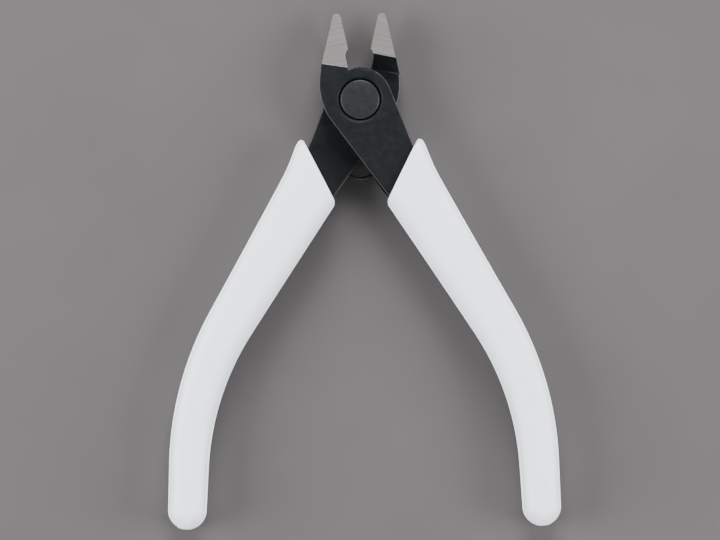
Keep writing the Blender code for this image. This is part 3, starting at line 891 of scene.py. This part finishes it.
@dataclass
class Grip:
    """One moulded sleeve, bowed, crowned, with an ear at its slanted mouth."""

    side: Side
    body: str
    node: str
    open_angle: float = math.radians(12.5)
    mouth: tuple[float, float] = (5.5 * MM, -17.8 * MM)
    slope: float = math.radians(18.8)
    straight: float = 39.5 * MM
    bend_radius: float = 68.0 * MM
    bend: float = math.radians(28.6)
    length: float = 88.0 * MM
    top_width: float = 13.7 * MM
    end_width: float = 8.6 * MM
    mouth_slope: float = math.radians(50.7)
    mouth_corner: float = 1.2 * MM
    ear_reach: float = 9.15 * MM
    ear_round: float = 1.7 * MM
    ear_fade: float = 3.2 * MM
    arm_reach: tuple[float, float] = (6.52 * MM, 6.12 * MM)
    arm_room: float = 4.2 * MM
    rim: float = 0.8 * MM
    ease: float = 15 * MM
    side_round: float = 2.7 * MM
    crown: float = 0.09
    seam_height: float = 0.3 * MM
    seam_proud: float = 0.28 * MM
    draft: float = 0.3 * MM
    nub_rim: float = 0.3 * MM
    nub_wall: float = 0.08 * MM
    nub_sink: float = 0.12 * MM

    def middle(self, s: float) -> tuple[Vector, float]:
        """Point and heading of the middle line.

        Args:
            s: Distance along the line from the mouth.

        Returns:
            The point in the closed tool's frame, and the heading from straight down.
        """
        run = min(s, self.straight)
        point = Vector(self.mouth) + Vector((math.sin(self.slope), -math.cos(self.slope))) * run
        turn = min(max(s - self.straight, 0) / self.bend_radius, self.bend)
        heading = self.slope - turn
        point += self.bend_radius * Vector(
            (math.cos(heading) - math.cos(self.slope), math.sin(heading) - math.sin(self.slope))
        )
        rest = max(s - self.straight - turn * self.bend_radius, 0)
        return point + Vector((math.sin(heading), -math.cos(heading))) * rest, heading

    def width(self, s: float) -> float:
        """The sleeve's width across its middle line."""
        share = min(max(1 - s / self.length, 0), 1)
        return self.end_width + (self.top_width - self.end_width) * share**1.5

    def slanted_ends(self, depth: float) -> list[Vector]:
        """The inner and outer ends of the sleeve on a line parallel to its mouth.

        Args:
            depth: How far the line is past the mouth.

        Returns:
            The two ends in the closed tool's frame.
        """
        angle = math.pi / 2 + self.slope - self.mouth_slope
        skew = self.top_width / 2 / math.tan(angle)
        inner = self.width(depth + skew) / 2 / math.sin(angle)
        corner = max(self.mouth_corner - depth, 0)
        inner += math.sqrt(self.mouth_corner**2 - corner**2) - self.mouth_corner
        ear = self.ear_round - depth
        if ear > 0:
            outer = self.ear_reach - self.ear_round + math.sqrt(self.ear_round**2 - ear**2)
        else:
            flank = self.width(depth - skew) / 2 / math.sin(angle)
            outer = flank + (self.ear_reach - flank) * math.exp(-((ear / self.ear_fade) ** 2))
        point, _ = self.middle(depth)
        return [point - self.mouth_line() * inner, point + self.mouth_line() * outer]

    def mouth_line(self) -> Vector:
        """The direction of the mouth, from the inner corner to the ear."""
        return Vector((math.cos(self.mouth_slope), math.sin(self.mouth_slope)))

    def quarter(
        self, half: float, tall: float, corner: float, seam: float
    ) -> list[tuple[float, float]]:
        """A quarter of a section, from the parting line to the middle of the crowned face.

        Args:
            half: The section's half width.
            tall: Its half height.
            corner: The radius of its rounded corner.
            seam: How far the parting line stands proud.

        Returns:
            (across, up) points from the side to the top.
        """
        corner = min(corner, half * 0.96, tall * 0.96)
        draft = self.draft * seam / self.seam_proud
        line = [(0.0, 0.0), (0.0, 0.6), (0.3, 1.0), (1.0, 1.05), (1.0, 1.5)]
        points = [(half - seam * inset, self.seam_height * up) for inset, up in line]
        rest = half - seam - draft - corner
        for step in range(9):
            angle = math.pi / 2 * step / 8
            points.append((rest + corner * math.cos(angle), tall - corner * (1 - math.sin(angle))))
        points += [(rest * share, tall) for share in (0.8, 0.6, 0.4, 0.2, 0.0)]
        return [(x, z * (1 - self.crown * (x / half) ** 2)) for x, z in points]

    def ring(
        self, ends: list[Vector], height: float, corner: float, seam: float, lift: float = 0.0
    ) -> list[Vector]:
        """A closed section between two flat points.

        Args:
            ends: The flat points on the inner and the outer side.
            height: The section's height.
            corner: The radius of its corners.
            seam: How far the parting line stands proud.
            lift: How far its middle is above the sleeve's.

        Returns:
            The section's points.
        """
        middle = (ends[0] + ends[1]) / 2
        across = (ends[1] - ends[0]).normalized()
        low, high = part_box(self.node)
        level = (low.z + high.z) / 2 + lift
        quarter = self.quarter((ends[1] - ends[0]).length / 2, height / 2, corner, seam)
        top = quarter + [(-x, z) for x, z in quarter[-2::-1]]
        outline = top + [(x, -z) for x, z in top[-2:0:-1]]
        points = []
        for x, z in outline:
            flat = middle + across * x
            points.append(Vector((flat.x, flat.y, level + z)))
        return points

    def pocket(self) -> list[list[Vector]]:
        """Rings of the arm's room, from its bottom out to the mouth's face."""
        down = Vector((math.sin(self.slope), -math.cos(self.slope)))
        lever_low, lever_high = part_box("front_lever")
        lift = (lever_high.z - lever_low.z) / 4 * self.side.value
        low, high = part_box(self.node)
        lift += (lever_low.z + lever_high.z) / 2 - (low.z + high.z) / 2
        rings = []
        for depth, more in ((3.0, 0.0), (0.25, 0.0), (0.0, 0.2)):
            ends = []
            for sign, reach in zip((-1, 1), self.arm_reach):
                point = Vector(self.mouth) + self.mouth_line() * sign * (reach + more * MM)
                ends.append(point + down * depth * MM)
            rings.append(self.ring(ends, self.arm_room + 2 * more * MM, 0.3 * MM, 0.0, lift))
        return rings

    def rings(self) -> list[list[Vector]]:
        """The sleeve's rings, from the bottom of its pocket over its mouth to its round end."""
        low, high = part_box(self.node)
        thickness = high.z - low.z - 0.02 * MM
        end_radius = self.end_width / 2
        body_end = self.length - end_radius
        stations = [0.02 * MM + self.ease * (i / 26) ** 2 for i in range(26)]
        stations += [self.ease + (body_end - self.ease) * i / 44 for i in range(45)]
        stations += [body_end + end_radius * math.sin(math.pi / 2 * i / 9) for i in range(1, 8)]
        rings = self.pocket()
        for s in stations:
            point, heading = self.middle(s)
            across = Vector((math.cos(heading), math.sin(heading)))
            share = math.sqrt(1 - (max(s - body_end, 0) / end_radius) ** 2)
            half = self.width(s) * share / 2
            blend = min(s / self.ease, 1)
            blend = blend * blend * (3 - 2 * blend)
            square = (point - across * half, point + across * half)
            slanted = self.slanted_ends(s)
            ends = [slanted[side].lerp(square[side], blend) for side in (0, 1)]
            rim = max(self.rim - s, 0)
            inset = self.rim - math.sqrt(self.rim**2 - rim**2)
            height = thickness - 2 * inset - 2 * self.side_round * (1 - share)
            rings.append(self.ring(ends, height, self.side_round, self.seam_proud * share))
        return rings

    def build(self, finish: bpy.types.Material) -> bpy.types.Object:
        """Makes the sleeve.

        Args:
            finish: Its material.

        Returns:
            The sleeve, riding on its body.
        """
        bm = bmesh.new()
        skin(bm, self.rings())
        end = min(bm.faces, key=lambda face: face.calc_center_median().y)
        bmesh.ops.inset_region(bm, faces=[end], thickness=self.nub_rim, depth=0.0)
        bmesh.ops.inset_region(bm, faces=[end], thickness=self.nub_wall, depth=-self.nub_sink)
        turn = Matrix.Rotation(self.open_angle, 3, "Z")
        bmesh.ops.rotate(bm, verts=bm.verts, cent=(0, 0, 0), matrix=turn)
        if self.side is Side.LEFT:
            bmesh.ops.scale(bm, verts=bm.verts, vec=(-1, 1, 1))
        bmesh.ops.recalc_face_normals(bm, faces=bm.faces)
        obj = place(self.node + "_sleeve", bm, [finish])
        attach(obj, self.body)
        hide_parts(self.node)
        return obj


@dataclass
class Studio:
    """The floor, the soft lights and the camera above the tool."""

    floor_size: float = 3.0
    view_height: float = 121.5 * MM
    distance: float = 0.9
    roll: float = math.radians(-0.64)
    look_down: float = 38.4 * MM
    sensor: float = 36.0
    aspect: float = 4 / 3
    focus_height: float = 8 * MM
    floor_gap: float = 0.02 * MM
    lit_point: tuple[float, float, float] = (0.0, -0.04, 0.0)

    def floor(self) -> bpy.types.Object:
        """A plain floor under the grips."""
        bm = bmesh.new()
        bmesh.ops.create_grid(bm, x_segments=1, y_segments=1, size=self.floor_size / 2)
        bmesh.ops.translate(bm, verts=bm.verts, vec=(0, 0, CAD_BOX[0][2] - self.floor_gap))
        obj = place("floor", bm, [FLOOR.material()])
        return obj

    def light(
        self, name: str, where: tuple[float, float, float], size: float, power: float
    ) -> None:
        """A square area light that faces the tool.

        Args:
            name: The light's name.
            where: Its place.
            size: Its side.
            power: Its power in watts.
        """
        data = bpy.data.lights.new(name, "AREA")
        data.shape = "SQUARE"
        data.size = size
        data.energy = power
        obj = bpy.data.objects.new(name, data)
        obj.location = where
        aim = Vector(self.lit_point) - Vector(where)
        obj.rotation_euler = aim.to_track_quat("-Z", "Y").to_euler()
        bpy.context.scene.collection.objects.link(obj)

    def camera(self) -> None:
        """A long lens straight above the tool."""
        data = bpy.data.cameras.new("camera")
        data.sensor_width = self.sensor
        data.lens = self.sensor * self.distance / (self.view_height * self.aspect)
        obj = bpy.data.objects.new("camera", data)
        up = Vector((-math.sin(self.roll), math.cos(self.roll), 0))
        target = -up * self.look_down
        obj.location = (target.x, target.y, self.focus_height + self.distance)
        obj.rotation_euler = (0, 0, self.roll)
        bpy.context.scene.collection.objects.link(obj)
        bpy.context.scene.camera = obj

    def build(self) -> None:
        """Sets the stage."""
        self.floor()
        self.light("soft box", (0.05, 0.80, 0.50), 0.55, 25.0)
        self.light("left fill", (-0.85, -0.08, 0.46), 0.6, 22.0)
        self.light("right fill", (0.85, -0.12, 0.42), 0.6, 19.0)
        self.light("front fill", (0.0, -0.9, 0.34), 0.6, 6.0)
        world = bpy.data.worlds.new("studio")
        world.use_nodes = True
        background = world.node_tree.nodes["Background"]
        background.inputs["Color"].default_value = (0.9, 0.95, 1.0, 1)
        background.inputs["Strength"].default_value = 0.16
        bpy.context.scene.world = world
        self.camera()


def main() -> None:
    """Builds the tool piece by piece, then the studio."""
    lever_finishes = [finish.material() for finish in (BLACKENED, RUBBED_EDGE_AND_HIGHLIGHT, GROUND, GROUND_RIM_HIGHLIGHT)]
    pieces = [
        Lever("front_lever", "front_half", Side.RIGHT).build(lever_finishes),
        Lever("back_lever", "back_half", Side.LEFT, edge_break=0.26 * MM).build(lever_finishes),
    ]
    pivot = Pivot()
    pin_finish = PIN_FACE.material()
    pieces += [pivot.pin(pin_finish), pivot.nut(pin_finish)]
    spring = ReturnSpring()
    spring_finish = SPRING_WIRE.material()
    pieces += [spring.coil(spring_finish), spring.arm(spring_finish)]
    grip_finish = WHITE_GRIP.material()
    pieces += [
        Grip(Side.RIGHT, "front_half", "right_grip").build(grip_finish),
        Grip(Side.LEFT, "back_half", "left_grip").build(grip_finish),
    ]
    for piece in pieces:
        log.info("%s: %d faces", piece.name, len(piece.data.polygons))
    Studio().build()


if __name__ == "__main__":
    logging.basicConfig(level=logging.INFO)
    main()
